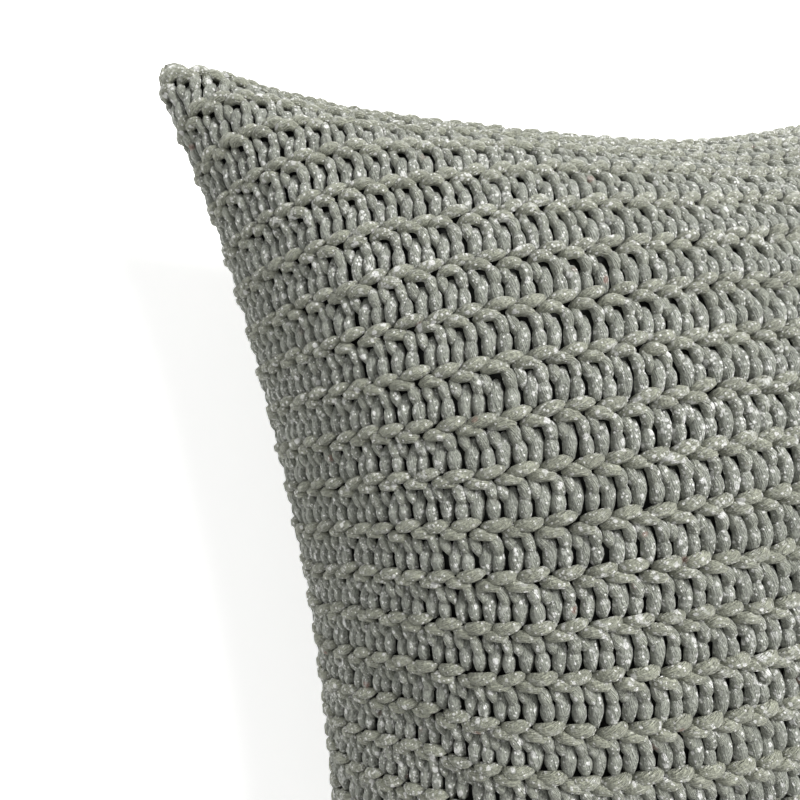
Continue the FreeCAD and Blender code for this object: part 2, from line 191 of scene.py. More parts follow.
def swelling():
    """How far each point of the filled insert moves as the filling presses on it."""
    front, back = layer(LINING_HALF, LINING_CROWN)
    rest = shell_points(front, back)
    middle = np.array([0, 0, SEAM])
    trial = new_object("swelling_trial", (rest - middle) * START_SIZE + middle, SHELL_FACES)
    pinned = trial.vertex_groups.new(name="sewn_edge")
    pinned.add([int(k) for k in FRONT_INDEX[:, 0]], 1.0, "REPLACE")
    press = trial.modifiers.new("press", "CLOTH")
    cloth = press.settings
    cloth.quality = 5
    cloth.mass = 0.3
    cloth.tension_stiffness = 12
    cloth.compression_stiffness = 12
    cloth.shear_stiffness = 5
    cloth.bending_stiffness = 0.4
    cloth.use_pressure = True
    cloth.uniform_pressure_force = 4
    cloth.vertex_group_mass = "sewn_edge"
    cloth.effector_weights.gravity = 0
    scene = bpy.context.scene
    for step in range(1, SWELL_STEPS + 1):
        scene.frame_set(step)
    swollen = trial.evaluated_get(bpy.context.evaluated_depsgraph_get())
    moved = read_points(swollen) - rest
    scene.frame_set(1)
    bpy.data.objects.remove(trial)
    moved -= moved.mean(axis=0)
    length = np.linalg.norm(moved, axis=1, keepdims=True)
    moved *= np.minimum(1, SWELL_CAP / np.maximum(length, 1e-9))
    return moved * (1 - near_zip(rest))[:, None]


SWELL = swelling()
SWELL_FRONT = SWELL[FRONT_INDEX]
SWELL_BACK = SWELL[BACK_INDEX]


def swollen_layer(half, crown, low):
    """A layer's two faces after the filling has pressed on them, flat where it rests."""
    front, back = layer(half, crown)
    front = front + SWELL_FRONT
    back = back + SWELL_BACK
    back[..., 2] = np.maximum(back[..., 2], low)
    back[RIM] = front[RIM]
    return front, back


# ---------------------------------------------------------------- graphs of nodes

class Value:
    """A number in a graph of nodes, so that a sum on it adds the graph's own nodes."""

    def __init__(self, graph, socket):
        self.graph = graph
        self.socket = socket

    def __add__(self, other):
        return self.graph.math("ADD", self, other)

    __radd__ = __add__

    def __sub__(self, other):
        return self.graph.math("SUBTRACT", self, other)

    def __rsub__(self, other):
        return self.graph.math("SUBTRACT", other, self)

    def __mul__(self, other):
        return self.graph.math("MULTIPLY", self, other)

    __rmul__ = __mul__

    def __truediv__(self, other):
        return self.graph.math("DIVIDE", self, other)


class Graph:
    """The nodes of one finish or of one tree of geometry."""

    def __init__(self, tree):
        self.tree = tree

    def node(self, kind, settings=None, sockets=None):
        made = self.tree.nodes.new(kind)
        for name, value in (settings or {}).items():
            if name == "stops":
                for k, (place, colour) in enumerate(value):
                    stops = made.color_ramp.elements
                    stop = stops[k] if k < 2 else stops.new(place)
                    stop.position = place
                    stop.color = colour
            else:
                setattr(made, name, value)
        for name, value in (sockets or {}).items():
            if isinstance(value, Value):
                value = value.socket
            if isinstance(value, bpy.types.NodeSocket):
                self.tree.links.new(value, made.inputs[name])
            else:
                made.inputs[name].default_value = value
        return made

    def get(self, output, kind, settings=None, sockets=None):
        return Value(self, self.node(kind, settings, sockets).outputs[output])

    def math(self, operation, first, second=0.0):
        return self.get(0, "ShaderNodeMath", {"operation": operation}, {0: first, 1: second})

    def vector(self, operation, first, second):
        key = 3 if operation == "SCALE" else 1
        return self.get(0, "ShaderNodeVectorMath", {"operation": operation}, {0: first, key: second})

    def mix(self, share, first, second, blend="MIX"):
        return self.get(2, "ShaderNodeMix", {"data_type": "RGBA", "blend_type": blend},
                        {0: share, 6: first, 7: second})


def colour(red, green, blue):
    """A linear colour from the three parts, 0 to 255, that a colour card gives."""
    parts = [c / 255 for c in (red, green, blue)]
    return tuple(c / 12.92 if c <= 0.04045 else ((c + 0.055) / 1.055) ** 2.4 for c in parts) + (1.0,)


def finish(graph, base, roughness, normal=None, metallic=0.0, **constants):
    """The surface of a finish; constants are sockets whose value is the same all over."""
    sockets = {"Base Color": base, "Roughness": roughness, "Metallic": metallic}
    for key, value in constants.items():
        sockets[key.replace("_", " ")] = value
    if normal is not None:
        sockets["Normal"] = normal
    shader = graph.node("ShaderNodeBsdfPrincipled", None, sockets)
    graph.node("ShaderNodeOutputMaterial", None, {"Surface": shader.outputs[0]})
    return graph.material


def blank(name):
    """A new finish with no nodes yet."""
    made = bpy.data.materials.new(name + "_finish")
    made.use_nodes = True
    made.node_tree.nodes.clear()
    graph = Graph(made.node_tree)
    graph.material = made
    return graph


def bump(graph, height, distance, strength=1.0):
    return graph.get(0, "ShaderNodeBump", None,
                     {"Height": height, "Distance": distance, "Strength": strength})


def place(graph, scale):
    """Where a point is on its own piece, scaled."""
    spot = graph.get("Object", "ShaderNodeTexCoord")
    return graph.get(0, "ShaderNodeMapping", None, {"Vector": spot, "Scale": scale})


def noise(graph, vector, scale, detail=2.0, output=0):
    return graph.get(output, "ShaderNodeTexNoise", None,
                     {"Vector": vector, "Scale": scale, "Detail": detail})


def limits(graph, value, low, high):
    """0 below low, 1 above high, and smooth between."""
    return graph.get(0, "ShaderNodeMapRange", {"interpolation_type": "SMOOTHSTEP"},
                     {0: value, 1: low, 2: high})


# ---------------------------------------------------------------- finishes

def crochet_yarn():
    """Matt grey yarn with fine fibres along it, ridge tops painted lighter than the legs, painted sheen
    patches and a scatter of foil flecks painted near white as glints.
    """
    graph = blank("crochet_yarn")
    spot = place(graph, (1, 1, 1))
    ridge = graph.get("Fac", "ShaderNodeAttribute", {"attribute_name": "ridge"})
    shade = graph.get("Fac", "ShaderNodeAttribute", {"attribute_name": "shade"})
    wool = graph.get("UV", "ShaderNodeUVMap", {"uv_map": "yarn"})
    lot_vector = graph.get(0, "ShaderNodeCombineXYZ", None, {2: shade * 37.0})
    across_fibre, along_fibre = 34, 4.5
    wool = graph.vector("MULTIPLY", wool, (across_fibre, along_fibre, 1))
    wool = graph.vector("ADD", wool, lot_vector)
    fibres = limits(graph, noise(graph, wool, 1.0, 3.0), 0.30, 0.70)
    fine = noise(graph, graph.vector("MULTIPLY", wool, (2.6, 1.6, 1)), 1.0, 2.0)
    fuzz = limits(graph, noise(graph, spot, 1300.0, 3.0), 0.36, 0.64)
    patch = noise(graph, spot, 9.0, 2.0)
    # painted light: the ridge strands on top get a slightly lighter, yellower grey than the legs, which
    # keep the shaded grey of the same yarn
    ridge_lit_grey = graph.mix(ridge, colour(144, 147, 137), colour(150, 152, 136))
    tone = 0.26 + shade * 0.24 + fibres * 0.58 + fine * 0.34 + fuzz * 0.40 + patch * 0.10
    grey = graph.mix(1.0, ridge_lit_grey, graph.get(0, "ShaderNodeCombineColor", None,
                                          {0: tone, 1: tone, 2: tone}), "MULTIPLY")
    crowd = limits(graph, noise(graph, spot, 26.0, 3.0), 0.42, 0.62)
    # the yarn's own foil flecks, painted near white in the colour as painted glints instead of being lit
    # by the lamp
    fleck_glint = None
    for scale, share in ((330.0, 0.84), (560.0, 0.72), (900.0, 0.62)):
        cells = graph.node("ShaderNodeTexVoronoi", None, {"Vector": spot, "Scale": scale})
        lot = graph.get(0, "ShaderNodeSeparateColor", None, {0: cells.outputs["Color"]})
        size = graph.get(1, "ShaderNodeSeparateColor", None, {0: cells.outputs["Color"]})
        ragged = noise(graph, spot, scale * 3.0, 1.0) * 0.30 - 0.15
        near = Value(graph, cells.outputs["Distance"]) + size * 0.16 + ragged
        chosen = limits(graph, lot + crowd * 0.20, share, share + 0.06)
        here = (1 - limits(graph, near, 0.26, 0.44)) * chosen
        fleck_glint = here if fleck_glint is None else graph.math("MAXIMUM", fleck_glint, here)
    rust = graph.node("ShaderNodeTexVoronoi", None, {"Vector": spot, "Scale": 210.0})
    rust_lot = graph.get(1, "ShaderNodeSeparateColor", None, {0: rust.outputs["Color"]})
    rusty = (1 - limits(graph, Value(graph, rust.outputs["Distance"]), 0.18, 0.34)) * limits(
        graph, rust_lot, 0.975, 0.985) * 0.5
    base = graph.mix(rusty, grey, colour(150, 96, 84))
    # painted sheen: blotches mixed toward near-white stand in for light glancing off the yarn, stronger
    # where the flecks crowd
    painted_sheen = limits(graph, noise(graph, spot, 520.0, 4.0), 0.54, 0.68) * (0.32 + crowd * 0.40)
    base = graph.mix(painted_sheen, base, colour(234, 235, 229))
    base = graph.mix(fleck_glint * 0.9, base, colour(252, 252, 248))
    normal = bump(graph, fibres * 0.6 + fine * 0.25 + fuzz * 0.22, 0.8 * MM, 1.0)
    return finish(graph, base, 0.62 - fleck_glint * 0.36, normal,
                  Sheen_Weight=0.12, Sheen_Roughness=0.45)


def woven(name, tint, threads, depth, roughness=0.85, **constants):
    """A plain weave of fine threads, over and under."""
    graph = blank(name)
    spot = place(graph, (1, 1, 1))
    over = graph.get("Fac", "ShaderNodeTexWave", {"bands_direction": "X"},
                     {"Vector": spot, "Scale": threads, "Distortion": 0.4, "Detail": 1.0})
    under = graph.get("Fac", "ShaderNodeTexWave", {"bands_direction": "Z"},
                      {"Vector": spot, "Scale": threads, "Distortion": 0.4, "Detail": 1.0})
    cloth = over * under
    patch = noise(graph, spot, 40.0, 3.0)
    tone = 0.72 + cloth * 0.3 + patch * 0.2
    base = graph.mix(1.0, colour(*tint), graph.get(0, "ShaderNodeCombineColor", None,
                                                   {0: tone, 1: tone, 2: tone}), "MULTIPLY")
    return finish(graph, base, roughness - patch * 0.08, bump(graph, cloth, depth, 0.6), **constants)


def metal():
    graph = blank("zip_metal")
    spot = place(graph, (1, 1, 6))
    wear = noise(graph, spot, 420.0, 3.0)
    base = graph.mix(wear, colour(150, 150, 148), colour(196, 196, 192))
    return finish(graph, base, 0.24 + wear * 0.2, bump(graph, wear, 0.05 * MM, 0.4), 1.0)


def plastic():
    graph = blank("zip_plastic")
    grain = noise(graph, place(graph, (1, 1, 1)), 900.0, 3.0)
    base = graph.mix(grain, colour(112, 113, 106), colour(136, 137, 128))
    return finish(graph, base, 0.38 + grain * 0.18, bump(graph, grain, 0.06 * MM, 0.5))


def wadding():
    graph = blank("polyester_fill")
    spot = place(graph, (1, 1, 1))
    clump = noise(graph, spot, 60.0, 6.0)
    base = graph.mix(clump, colour(222, 222, 218), colour(248, 248, 246))
    return finish(graph, base, 0.8 + clump * 0.15, bump(graph, clump, 2 * MM, 0.8))


FINISHES = {
    "crochet_yarn": crochet_yarn(),
    # the lining's dark charcoal is partly the lining's own colour and partly painted shade for the gaps
    # between the stitches
    "lining_cotton": woven("lining_cotton", (44, 46, 42), 260.0, 0.12 * MM),
    "insert_fabric": woven("insert_fabric", (226, 226, 220), 300.0, 0.1 * MM),
    "polyester_fill": wadding(),
    "zip_tape": woven("zip_tape", (104, 106, 98), 420.0, 0.12 * MM),
    "zip_plastic": plastic(),
    "thread": woven("thread", (128, 129, 120), 900.0, 0.1 * MM, 0.7),
    "zip_metal": metal(),
    "label_satin": woven("label_satin", (232, 232, 226), 700.0, 0.04 * MM, 0.42),
}


def dress(obj, slot):
    """Give a new piece the finish made for the given slot."""
    obj.data.materials.clear()
    obj.data.materials.append(FINISHES[slot])


# ---------------------------------------------------------------- strands of yarn

SIDES = 6
RINGS = 6
TIP = 0.7
TWIST = 0.30
PITCH = 9.06 * MM
ROW = 15.43 * MM


def strand(path, widths, depths):
    """One tapered length of yarn: its points, its faces and where on the yarn each face corner is.

    path gives (across, down, out) in mm; the cross-section is widths by depths, half of each.
    """
    path = np.array(path, float)
    at = np.linspace(0, 1, len(path))
    share = np.linspace(0, 1, RINGS)
    smooth = np.stack([smooth_line(at, path[:, k], share) for k in range(3)], -1)
    wide = np.interp(share, np.linspace(0, 1, len(widths)), widths)
    deep = np.interp(share, np.linspace(0, 1, len(depths)), depths)
    ahead = np.gradient(smooth, axis=0)
    ahead /= np.linalg.norm(ahead, axis=1, keepdims=True)
    side = np.cross(ahead, [0.0, 0.0, 1.0])
    side /= np.linalg.norm(side, axis=1, keepdims=True)
    out = np.cross(side, ahead)
    verts, faces, marks = [], [], []
    for k in range(RINGS):
        for a in range(SIDES):
            angle = 2 * math.pi * a / SIDES
            verts.append(smooth[k] + side[k] * wide[k] * math.cos(angle)
                         + out[k] * deep[k] * math.sin(angle))
    first, last = len(verts), len(verts) + 1
    verts.append(smooth[0] - ahead[0] * wide[0] * TIP)
    verts.append(smooth[-1] + ahead[-1] * wide[-1] * TIP)
    runs = np.linalg.norm(np.diff(smooth, axis=0), axis=1)
    length = np.concatenate([[0], np.cumsum(runs)]) * 0.1

    def mark(k, a):
        # the fibres wind round the yarn as they run along it
        return (a / SIDES + length[k] * TWIST, length[k])

    for k in range(RINGS - 1):
        for a in range(SIDES):
            b = (a + 1) % SIDES
            faces.append((k * SIDES + a, k * SIDES + b, (k + 1) * SIDES + b, (k + 1) * SIDES + a))
            marks += [mark(k, a), mark(k, a + 1), mark(k + 1, a + 1), mark(k + 1, a)]
    end = (RINGS - 1) * SIDES
    for a in range(SIDES):
        b = (a + 1) % SIDES
        faces.append((b, a, first))
        marks += [mark(0, a + 1), mark(0, a), mark(0, a + 0.5)]
        faces.append((end + a, end + b, last))
        marks += [mark(RINGS - 1, a), mark(RINGS - 1, a + 1), mark(RINGS - 1, a + 0.5)]
    return verts, faces, marks


def smooth_line(at, values, share):
    """Values between the given ones, on a curve with no corners."""
    slope = np.gradient(values, at)
    k = np.clip(np.searchsorted(at, share, side="right") - 1, 0, len(at) - 2)
    gap = at[k + 1] - at[k]
    f = (share - at[k]) / gap
    return ((2 * f ** 3 - 3 * f ** 2 + 1) * values[k] + (f ** 3 - 2 * f ** 2 + f) * gap * slope[k]
            + (-2 * f ** 3 + 3 * f ** 2) * values[k + 1] + (f ** 3 - f ** 2) * gap * slope[k + 1])


# each strand of a stitch: whether it is part of the ridge, its path, its widths and its depths;
# a path starts from the gap under the ridge, between two arches
BACK_LOOP = (1.0, [(-4.0, -3.1, 2.6), (-2.2, -3.6, 3.8), (0.0, -4.0, 4.2), (2.2, -4.4, 3.8),
                   (4.0, -4.8, 2.7)],
             [1.15, 1.95, 2.15, 1.95, 1.15], [1.1, 1.8, 1.95, 1.8, 1.1])
FRONT_LOOP = (1.0, [(-7.4, -0.9, 2.4), (-6.0, -1.5, 3.5), (-4.2, -1.7, 4.0), (-2.4, -1.4, 3.8),
                    (-1.0, -0.5, 3.0)],
              [1.2, 1.95, 2.1, 2.0, 1.6], [1.1, 1.8, 1.95, 1.8, 1.4])
POST_TOP = (0.3, [(-1.5, -0.6, 2.9), (-0.6, 0.8, 3.4), (-0.3, 3.0, 3.2), (-0.4, 5.6, 2.2)],
            [1.4, 2.0, 2.0, 1.2], [1.3, 1.8, 1.75, 1.0])
POST_FOOT = (0.0, [(-0.2, 3.2, 1.8), (-0.4, 5.8, 2.8), (-0.7, 8.2, 2.9), (-1.0, 10.9, 1.8)],
             [1.0, 2.0, 2.2, 1.6], [0.9, 1.8, 1.95, 1.5])
DROP = (0.0, [(-3.6, 1.4, 1.6), (-4.1, 4.2, 2.5), (-4.8, 7.4, 2.8), (-5.3, 10.9, 1.9)],
        [1.2, 2.0, 2.25, 1.7], [1.0, 1.75, 1.95, 1.6])
SHORT_LEG = (0.3, [(-6.6, -0.4, 2.8), (-6.5, 1.2, 3.2), (-6.0, 3.2, 2.9), (-5.3, 5.8, 1.8)],
             [1.4, 1.85, 1.75, 1.0], [1.3, 1.6, 1.5, 0.9])


def stitch_piece(name, strands):
    """A few strands as one small mesh: stitches across, rows down, metres out."""
    verts, faces, marks, ridges = [], [], [], []
    for ridge, path, widths, depths in strands:
        points, rings, spots = strand(path, widths, depths)
        faces += [tuple(len(verts) + k for k in face) for face in rings]
        verts += [(p[0] * MM / PITCH, -p[1] * MM / ROW, p[2] * MM) for p in points]
        marks += spots
        ridges += [ridge] * len(points)
    made = new_object(name, verts, faces)
    mesh = made.data
    yarn = mesh.uv_layers.new(name="yarn")
    yarn.data.foreach_set("uv", np.array(marks).ravel())
    mesh.attributes.new("ridge", "FLOAT", "POINT").data.foreach_set("value", ridges)
    return made


STITCH = stitch_piece("stitch_pattern", [BACK_LOOP, FRONT_LOOP, POST_TOP, POST_FOOT, DROP, SHORT_LEG])
CHAIN = stitch_piece("chain_pattern", [BACK_LOOP, FRONT_LOOP])
RIM_LOOP = (1.0, [(-4.5, 0.5, 1.2), (-2.3, 0.2, 2.2), (0.0, 0.0, 2.6), (2.3, -0.2, 2.2),
                  (4.5, -0.5, 1.2)],
            [1.5, 2.4, 2.7, 2.4, 1.5], [1.4, 2.1, 2.3, 2.1, 1.4])
RIM_CHAIN = stitch_piece("rim_pattern", [RIM_LOOP])
SIDE_LOOP = (1.0, [(0.3, -5.0, 1.4), (0.1, -2.6, 2.4), (0.0, 0.0, 2.8), (-0.1, 3.0, 2.4),
                   (-0.3, 5.6, 1.0)],
             [1.6, 2.5, 2.8, 2.4, 1.2], [1.4, 2.1, 2.3, 2.0, 1.1])
SIDE_CHAIN = stitch_piece("side_pattern", [SIDE_LOOP])

# ---------------------------------------------------------------- crochet laid over the pillow

AROUND = 102
DOWN = 28.77
FIRST_ROW = 0.69
LAST_ROW = 28.25
ROWS = 27
LEAN = -0.068
LEVEL_ROW = 8
COLUMN_START = 0.05
SHIFT = (0.05, 0.035, 0.0003)
WAVE_SCALE = 0.45
MAP_EDGE = 0.0004


def crochet_tree():
    """Lays one stitch over and over in rows on a surface, and bends each one to it."""
    tree = bpy.data.node_groups.new("crochet", "GeometryNodeTree")
    tree.is_modifier = True
    for label, kind, value in (
            ("Geometry", "Geometry", None), ("Stitch", "Object", None), ("Columns", "Int", 10),
            ("Rows", "Int", 5), ("First Column", "Float", 0.0), ("First Row", "Float", 0.0),
            ("Row Step", "Float", 1.0), ("Lean", "Float", LEAN),
            ("Stitches Around", "Float", AROUND),
            ("Rows Down", "Float", DOWN), ("Unevenness", "Float", 1.0), ("Wander", "Float", 0.2),
            ("Lowest", "Float", 0.0), ("Seed", "Int", 7), ("Finish", "Material", None)):
        socket = tree.interface.new_socket(label, in_out="INPUT", socket_type="NodeSocket" + kind)
        if value is not None:
            socket.default_value = value
    tree.interface.new_socket("Geometry", in_out="OUTPUT", socket_type="NodeSocketGeometry")
    graph = Graph(tree)
    given = graph.node("NodeGroupInput").outputs

    def named(name):
        return Value(graph, given[name])

    index = graph.get(0, "GeometryNodeInputIndex")
    row = graph.math("FLOOR", (index + 0.001) / named("Columns"))
    column = index - row * named("Columns")
    down = named("First Row") + row * named("Row Step")
    across = named("First Column") + column + named("Lean") * (down - FIRST_ROW - LEVEL_ROW)
    start = graph.get(0, "ShaderNodeCombineXYZ", None, {0: across, 1: -1 * down})
    spots = graph.node("GeometryNodePoints", None,
                       {"Count": graph.math("ROUND", named("Columns") * named("Rows")), "Position": start})
    pattern = graph.node("GeometryNodeObjectInfo", None, {"Object": given["Stitch"]})
    laid = graph.node("GeometryNodeInstanceOnPoints", None,
                      {"Points": spots.outputs[0], "Instance": pattern.outputs["Geometry"]})
    loose = graph.node("GeometryNodeRealizeInstances", None, {"Geometry": laid.outputs[0]})
    island = graph.get("Island Index", "GeometryNodeInputMeshIsland")
    shift = graph.get(0, "FunctionNodeRandomValue", {"data_type": "FLOAT_VECTOR"},
                      {"Min": tuple(-c for c in SHIFT), "Max": SHIFT,
                       "ID": island, "Seed": given["Seed"]})
    point = graph.get(0, "GeometryNodeInputPosition")
    wave = noise(graph, graph.vector("MULTIPLY", point, (WAVE_SCALE, WAVE_SCALE, 0)), 1.0, 1.0, 1)
    wave = graph.vector("MULTIPLY", graph.vector("SUBTRACT", wave, (0.5, 0.5, 0.5)), (1, 1, 0))
    moved = graph.vector("ADD", graph.vector("SCALE", shift, named("Unevenness")),
                         graph.vector("SCALE", wave, named("Wander")))
    uneven = graph.node("GeometryNodeSetPosition", None,
                        {"Geometry": loose.outputs[0], "Offset": moved})
    shade = graph.get(1, "FunctionNodeRandomValue", {"data_type": "FLOAT"},
                      {"ID": island, "Seed": given["Seed"]})
    shaded = graph.node("GeometryNodeStoreNamedAttribute", {"data_type": "FLOAT", "domain": "POINT"},
                        {"Geometry": uneven.outputs[0], "Name": "shade", "Value": shade})

    parts = graph.node("ShaderNodeSeparateXYZ", None, {0: point})
    u, v, out = (Value(graph, parts.outputs[k]) for k in range(3))
    v = -1 * v
    total = named("Rows Down")
    folded = total - graph.math("ABSOLUTE", total - graph.math("ABSOLUTE", v))
    over = graph.math("ADD", graph.math("LESS_THAN", v, 0.0), graph.math("GREATER_THAN", v, total))
    round_u = u + over * (named("Stitches Around") - u - u)
    round_u = graph.math("FLOORED_MODULO", round_u, named("Stitches Around"))
    share_u = round_u / named("Stitches Around")
    share_v = graph.get(0, "ShaderNodeClamp", None, {0: 1 - folded / total, 1: MAP_EDGE, 2: 1 - MAP_EDGE})
    where = graph.get(0, "ShaderNodeCombineXYZ", None, {0: share_u, 1: share_v})
    fabric = graph.get(0, "GeometryNodeInputNamedAttribute", {"data_type": "FLOAT_VECTOR"},
                       {"Name": "fabric"})
    outward = graph.get(0, "GeometryNodeInputNamedAttribute", {"data_type": "FLOAT_VECTOR"},
                        {"Name": "outward"})

    def on_surface(value):
        return graph.get(0, "GeometryNodeSampleUVSurface", {"data_type": "FLOAT_VECTOR"},
                         {"Mesh": given["Geometry"], "Value": value, "Source UV Map": fabric,
                          "Sample UV": where})

    base = on_surface(point)
    away = on_surface(outward)
    bent = graph.vector("ADD", base, graph.vector("SCALE", away, out))
    ends = graph.node("ShaderNodeSeparateXYZ", None, {0: bent})
    rest = graph.math("MAXIMUM", Value(graph, ends.outputs[2]), named("Lowest"))
    settled = graph.get(0, "ShaderNodeCombineXYZ", None,
                        {0: ends.outputs[0], 1: ends.outputs[1], 2: rest})
    bent = graph.node("GeometryNodeSetPosition", None,
                      {"Geometry": shaded.outputs[0], "Position": settled})
    whole = graph.node("GeometryNodeRealizeInstances", None, {"Geometry": bent.outputs[0]})
    done = graph.node("GeometryNodeSetMaterial", None,
                      {"Geometry": whole.outputs[0], "Material": given["Finish"]})
    graph.node("NodeGroupOutput", None, {0: done.outputs[0]})
    return tree


CROCHET = crochet_tree()


def fabric_path():
    """The surface that the crochet is worked over, front and back, with its stitch map."""
    front, back = swollen_layer(PATH_HALF, PATH_CROWN, KNIT)
    made = new_object("crochet_path", shell_points(front, back), SHELL_FACES)
    mesh = made.data
    maps = []
    for points, index, flip in ((front, FRONT_INDEX, False), (back, BACK_INDEX, True)):
        along = arc_shares(points, 0) / 2
        up = arc_shares(points, 1)
        if flip:
            along = 1 - along
        local = grid_faces(grid_index(0), flip).ravel()
        maps.append(np.stack([along.ravel()[local], up.ravel()[local]], -1))
    fabric = mesh.uv_layers.new(name="fabric")
    fabric.data.foreach_set("uv", np.concatenate(maps).ravel())
    normals = np.empty(len(mesh.vertices) * 3)
    mesh.vertex_normals.foreach_get("vector", normals)
    mesh.attributes.new("outward", "FLOAT_VECTOR", "POINT").data.foreach_set("vector", normals)
    return made


PATH = fabric_path()


def lay(name, pattern, columns, rows, first_column, first_row, row_step=1.0, seed=7, lean=LEAN):
    """One band of crochet as a plain mesh."""
    holder = bpy.data.objects.new(name + "_holder", PATH.data)
    bpy.context.scene.collection.objects.link(holder)
    work = holder.modifiers.new("crochet", "NODES")
    work.node_group = CROCHET
    given = {
        "Stitch": pattern, "Columns": columns, "Rows": rows, "First Column": first_column,
        "First Row": first_row, "Row Step": row_step, "Lean": lean, "Stitches Around": float(AROUND),
        "Rows Down": DOWN, "Unevenness": 1.0, "Wander": 0.22, "Lowest": 0.3 * MM, "Seed": seed,
        "Finish": FINISHES["crochet_yarn"],
    }
    for item in CROCHET.interface.items_tree:
        if item.in_out == "INPUT" and item.name in given:
            work[item.identifier] = given[item.name]
    done = holder.evaluated_get(bpy.context.evaluated_depsgraph_get())
    mesh = bpy.data.meshes.new_from_object(done)
    mesh.name = name
    mesh.shade_smooth()
    mesh.materials.clear()
    mesh.materials.append(FINISHES["crochet_yarn"])
    bpy.data.objects.remove(holder)
    made = bpy.data.objects.new(name, mesh)
    bpy.context.scene.collection.objects.link(made)
    return made


HALF_AROUND = AROUND // 2
ROW_STEP = (LAST_ROW - FIRST_ROW) / ROWS
BAND_ROWS = 9
JOINED = 6
BESIDE_RIM = 0.27
AT_CORNER = 0.32

bands = {}
for face, first_column, first_seed in (("front", COLUMN_START, 11),
                                       ("back", COLUMN_START + HALF_AROUND, 31)):
    for k, part in enumerate(("top", "middle", "bottom")):
        name = "crochet_%s_%s" % (face, part)
        bands[name] = lay(name, STITCH, HALF_AROUND, BAND_ROWS, first_column,
                          FIRST_ROW + k * BAND_ROWS * ROW_STEP, ROW_STEP, first_seed + k)

# each edge piece: its pattern, its stitches, its first column and row, its seed and its lean
edges = {}
for name, pattern, count, column, row, seed, lean in (
        ("opening_edge", CHAIN, AROUND, COLUMN_START, LAST_ROW, 41, LEAN),
        ("joining_chain_top", RIM_CHAIN, HALF_AROUND, 0.5, 0.0, 42, 0.0),
        ("joining_chain_left", RIM_CHAIN, JOINED, 0.4, DOWN, 43, 0.0),
        ("joining_chain_right", RIM_CHAIN, JOINED, HALF_AROUND - 5.4, DOWN, 44, 0.0),
        ("joining_sides_top", RIM_CHAIN, AROUND, 0.5, BESIDE_RIM, 48, 0.0),
        ("joining_side_left", RIM_CHAIN, 14, -6.1, DOWN - BESIDE_RIM, 46, 0.0),
        ("joining_side_right", RIM_CHAIN, 14, HALF_AROUND - 6.9, DOWN - BESIDE_RIM, 47, 0.0),
        ("corner_top_left", SIDE_CHAIN, 1, 0.0, AT_CORNER, 45, 0.0),
        ("corner_top_right", SIDE_CHAIN, 1, HALF_AROUND, AT_CORNER, 45, 0.0),
        ("corner_low_left", SIDE_CHAIN, 1, 0.0, DOWN - AT_CORNER, 45, 0.0),
        ("corner_low_right", SIDE_CHAIN, 1, HALF_AROUND, DOWN - AT_CORNER, 45, 0.0)):
    edges[name] = lay(name, pattern, count, 1, column, row, 1.0, seed, lean)
for piece in list(bands.values()) + list(edges.values()):
    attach(piece, "pillow")
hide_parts("front_cover")
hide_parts("back_cover")
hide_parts("joining_round")

# ---------------------------------------------------------------- layers inside the cover

LINING_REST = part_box("back_lining")[0].z
CASE_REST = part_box("insert_case_back")[0].z
FILL_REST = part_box("fibre_fill")[0].z


def face_sheet(name, points, flip, thick, leave_zip):
    """One face of a layer as a sheet of cloth, cut away where the zip's tape begins."""
    verts = points.reshape(-1, 3)
    faces = grid_faces(grid_index(0), flip)
    if leave_zip:
        middle = verts[faces].mean(axis=1)
        at_zip = ((np.abs(middle[:, 0]) < ZIP_REACH) & (middle[:, 1] < 0)
                  & (np.abs(middle[:, 2] - SEAM) < TAPE_REACH))
        faces = faces[~at_zip]
    used, renumbered = np.unique(faces, return_inverse=True)
    made = new_object(name, verts[used], renumbered.reshape(faces.shape))
    wall = made.modifiers.new("cloth", "SOLIDIFY")
    wall.thickness = thick
    wall.offset = -1
    return made


def apply_modifiers(obj):
    done = obj.evaluated_get(bpy.context.evaluated_depsgraph_get())
    mesh = bpy.data.meshes.new_from_object(done)
    mesh.name = obj.name
    obj.modifiers.clear()
    obj.data = mesh


lining_front, lining_back = swollen_layer(LINING_HALF, LINING_CROWN, LINING_REST)
case_front, case_back = swollen_layer(CASE_HALF, CASE_CROWN, CASE_REST)
fill_front, fill_back = swollen_layer(FILL_HALF, FILL_CROWN, FILL_REST)

FLAT_LINING = 0.44
FLAT_CASE = 0.42
SHEET_THICK = 0.8 * MM
for name, node, points, flip, slot, flat, zip_cut, under in (
        ("lining_front", "front_lining", lining_front, False, "lining_cotton", FLAT_LINING, True,
         "insert_casing_front"),
        ("lining_back", "back_lining", lining_back, True, "lining_cotton", FLAT_LINING, True,
         "insert_casing_back"),
        ("insert_casing_front", "insert_case_front", case_front, False, "insert_fabric", FLAT_CASE,
         False, "filling"),
        ("insert_casing_back", "insert_case_back", case_back, True, "insert_fabric", FLAT_CASE,
         False, "filling")):
    piece = face_sheet(name, points, flip, SHEET_THICK, zip_cut)
    apply_modifiers(piece)
    dress(piece, slot)
    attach(piece, "pillow")
    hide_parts(node)

filling = new_object("filling", shell_points(fill_front, fill_back), SHELL_FACES)
dress(filling, "polyester_fill")
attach(filling, "pillow")
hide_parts("fibre_fill")


